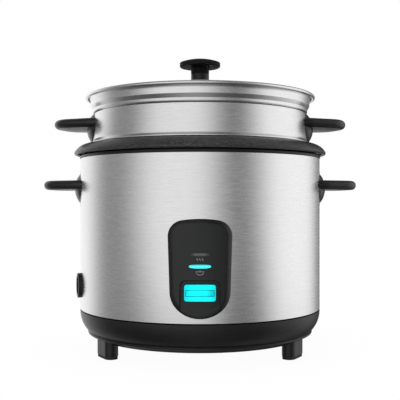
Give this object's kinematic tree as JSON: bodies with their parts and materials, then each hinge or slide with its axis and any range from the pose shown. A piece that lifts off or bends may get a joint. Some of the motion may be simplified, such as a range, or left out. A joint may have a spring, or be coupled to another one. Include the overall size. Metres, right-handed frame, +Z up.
{
  "type": "rice cooker",
  "caption": "Drum rice cooker: brushed steel body on a dark base, domed inner pot, steamer on the pot, glass lid with a knob, ear handles and a front panel with lamps and a cook key.",
  "frame": {"origin": "on the floor under the middle of the drum, midway between the ends of the handles", "axes": "+Z up; the control panel faces -Y; +X to the right of someone who looks at the panel"},
  "size_m": [0.342, 0.2728, 0.3178],
  "materials": {
    "brushed_shell": "brushed round the drum",
    "spun_metal": "satin, spun",
    "black_plastic": "satin black, lightly textured",
    "panel_plastic": "satin dark grey",
    "pot_coating": "dark speckled non-stick coating",
    "clear_glass": "clear tempered glass",
    "lit_cyan": "translucent cyan, lit",
    "dark_lens": "translucent grey, unlit",
    "pad_rubber": "matt rubber",
    "silicone": "matt translucent white",
    "zinc_steel": "zinc plated",
    "cast_aluminium": "as cast, turned top",
    "liner_sheet": "galvanised sheet",
    "ferrite": "matt grey",
    "ceramic": "unglazed white",
    "mica_band": "mica and foil",
    "circuit_board": "green solder mask",
    "inner_plastic": "matt dark grey",
    "contact_brass": "plated brass",
    "wire_jacket": "silicone insulated",
    "red_plastic": "matt"
  },
  "bodies": {
    "base_unit": {"outer_shell": "brushed_shell", "top_collar": "black_plastic", "base_ring": "black_plastic", "bottom_cover": "black_plastic", "foot_pads": "pad_rubber", "base_screws": "zinc_steel", "body_handle_left": "black_plastic", "body_handle_right": "black_plastic", "body_handle_screws": "zinc_steel", "inner_liner": "liner_sheet", "heating_plate": "cast_aluminium", "heater_posts": "zinc_steel", "heater_terminals": "ceramic", "keep_warm_band": "mica_band", "thermal_fuse": "ceramic", "thermostat_guide": "liner_sheet", "thermostat_spring": "zinc_steel", "lever_bracket": "zinc_steel", "lever_pin": "zinc_steel", "microswitch": "inner_plastic", "control_panel": "panel_plastic", "panel_screws": "zinc_steel", "warm_lens": "dark_lens", "cook_lens": "lit_cyan", "lamp_board": "circuit_board", "indicator_lamps": "lit_cyan", "board_screws": "zinc_steel", "inlet_housing": "black_plastic", "inlet_pins": "contact_brass", "inlet_nut": "inner_plastic", "wiring": "wire_jacket"},
    "thermostat": {"thermostat_cap": "cast_aluminium", "thermostat_ferrite": "ferrite"},
    "cook_lever": {"lever_arm": "zinc_steel", "cook_key": "lit_cyan"},
    "magnet": {"lift_magnet": "ferrite", "magnet_rod": "zinc_steel"},
    "button": {"switch_button": "red_plastic"},
    "pot": {"inner_pot": "pot_coating"},
    "steamer": {"steamer_basket": "spun_metal", "steamer_handle_left": "black_plastic", "steamer_handle_right": "black_plastic", "steamer_handle_screws": "zinc_steel"},
    "lid": {"lid_glass": "clear_glass", "lid_band": "zinc_steel", "lid_knob": "black_plastic", "knob_collar": "black_plastic", "knob_screw": "zinc_steel", "knob_gaskets": "silicone", "vent_grommet": "zinc_steel"}
  },
  "joints": [
    {"name": "thermostat_press", "type": "slide", "parent": "base_unit", "child": "thermostat", "axis": [0, 0, 1], "range_m": [-0.003, 0], "stiffness_N_per_m": 1000, "springref_m": 0.003, "deforming": ["thermostat_spring"]},
    {"name": "cook_lever_hinge", "type": "hinge", "parent": "base_unit", "child": "cook_lever", "pos_m": [0, -0.07, 0.055], "axis": [1, 0, 0], "range_deg": [0, 5.2], "stiffness_Nm_per_rad": 0.5, "springref_deg": -5.73},
    {"name": "magnet_lift", "type": "slide", "parent": "base_unit", "child": "magnet", "axis": [0, 0, 1], "range_m": [0, 0.00665]},
    {"name": "button_press", "type": "slide", "parent": "base_unit", "child": "button", "axis": [0, 0, 1], "range_m": [-0.0028, 0]},
    {"name": "pot_lift", "type": "slide", "parent": "base_unit", "child": "pot", "axis": [0, 0, 1], "range_m": [0, 0.16]},
    {"name": "steamer_lift", "type": "slide", "parent": "pot", "child": "steamer", "axis": [0, 0, 1], "range_m": [0, 0.12]},
    {"name": "lid_lift", "type": "slide", "parent": "steamer", "child": "lid", "axis": [0, 0, 1], "range_m": [0, 0.12]}
  ],
  "couplings": [
    {"joint": "magnet_lift", "follows": "cook_lever_hinge", "m_per_rad": 0.0732},
    {"joint": "button_press", "follows": "cook_lever_hinge", "m_per_rad": -0.0307}
  ]
}
